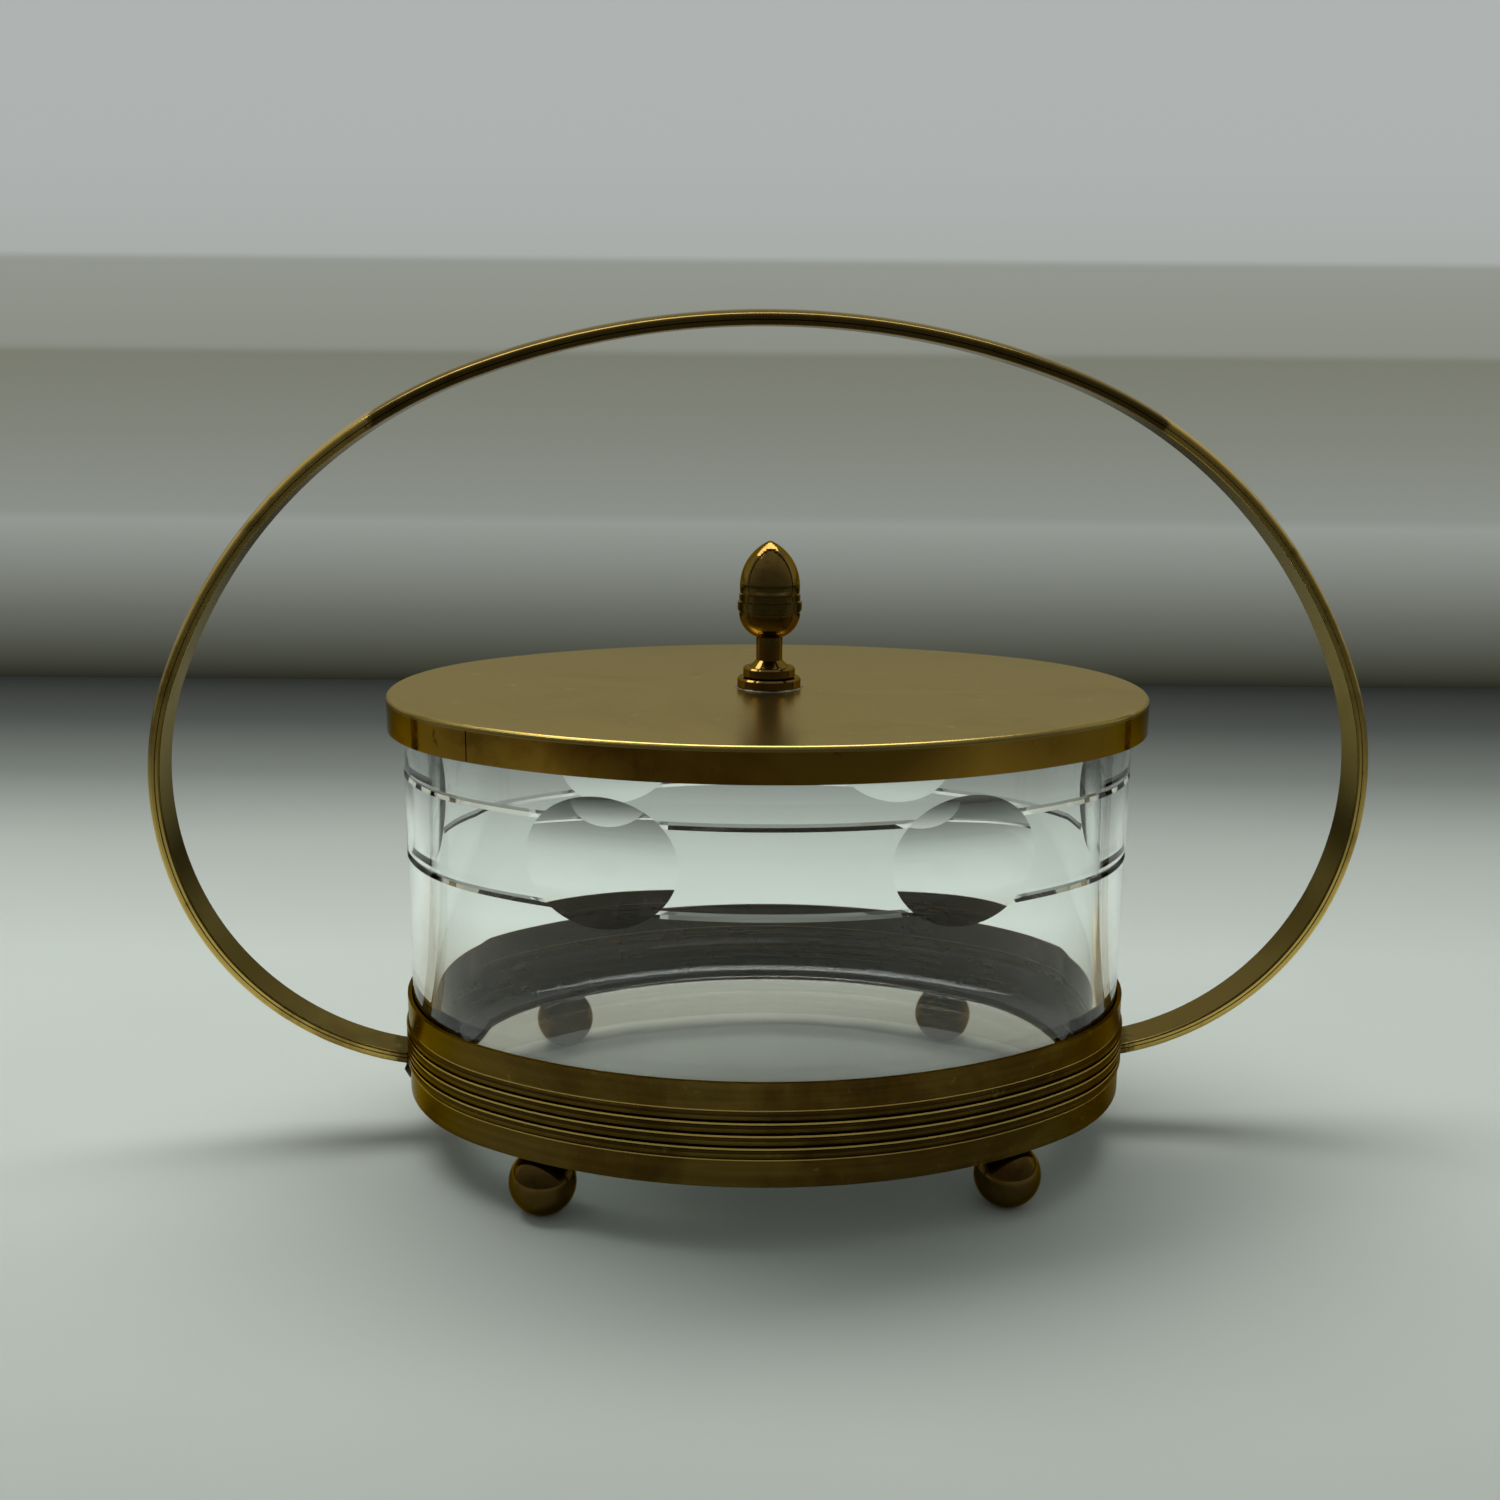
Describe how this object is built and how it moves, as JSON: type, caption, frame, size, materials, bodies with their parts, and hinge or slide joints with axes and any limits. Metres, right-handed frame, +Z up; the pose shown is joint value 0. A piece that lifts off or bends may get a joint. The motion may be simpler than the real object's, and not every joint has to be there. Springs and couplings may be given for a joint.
{
  "type": "lidded oval glass box",
  "caption": "Oval cut-glass box with a lift-off brass lid and acorn finial, standing in a ball-footed brass holder with a fixed hoop handle.",
  "frame": {"origin": "middle of the footprint, on the table that the ball feet stand on", "axes": "+X along the box's length, to the viewer's right; +Y to the back; +Z up"},
  "size_m": [0.235, 0.108, 0.1592],
  "materials": {
    "tarnished_brass": "old rolled brass, olive brown tarnish with green and gold patches, brighter on the reeds",
    "dark_ball_brass": "turned brass balls, dark and smooth",
    "hoop_brass": "rubbed brass strip, gold on the crown of its outer face, brown at the edges, satin inside",
    "dark_solder": "dark, matt soft solder",
    "clear_glass": "clear cut and polished glass",
    "satin_brass": "satin brass sheet, fine scratches and small dents",
    "rim_brass": "polished brass strip with a light tarnish",
    "turned_brass": "turned and polished brass, darkened in its grooves",
    "screw_brass": "plain brass screw, nut and washer",
    "grey_solder": "whitish soft solder, ragged at its edge"
  },
  "bodies": {
    "holder": {"gallery_band": "tarnished_brass", "gallery_ledge": "tarnished_brass", "foot_front_left": "dark_ball_brass", "foot_front_right": "dark_ball_brass", "foot_back_left": "dark_ball_brass", "foot_back_right": "dark_ball_brass", "foot_rivets": "tarnished_brass", "handle_hoop": "hoop_brass", "handle_solder": "dark_solder"},
    "glass": {"glass_box": "clear_glass"},
    "lid": {"lid_plate": "satin_brass", "lid_rim": "rim_brass", "finial_step": "turned_brass", "finial_collar": "turned_brass", "finial_cup": "turned_brass", "finial_acorn": "turned_brass", "finial_screw": "screw_brass", "finial_washer": "screw_brass", "finial_nut": "screw_brass", "finial_solder": "grey_solder"}
  },
  "joints": [
    {"name": "glass_lift", "type": "slide", "parent": "holder", "child": "glass", "axis": [0, 0, 1], "range_m": [0, 0.019]},
    {"name": "lid_lift", "type": "slide", "parent": "glass", "child": "lid", "axis": [0, 0, 1], "range_m": [0, 0.017]}
  ]
}
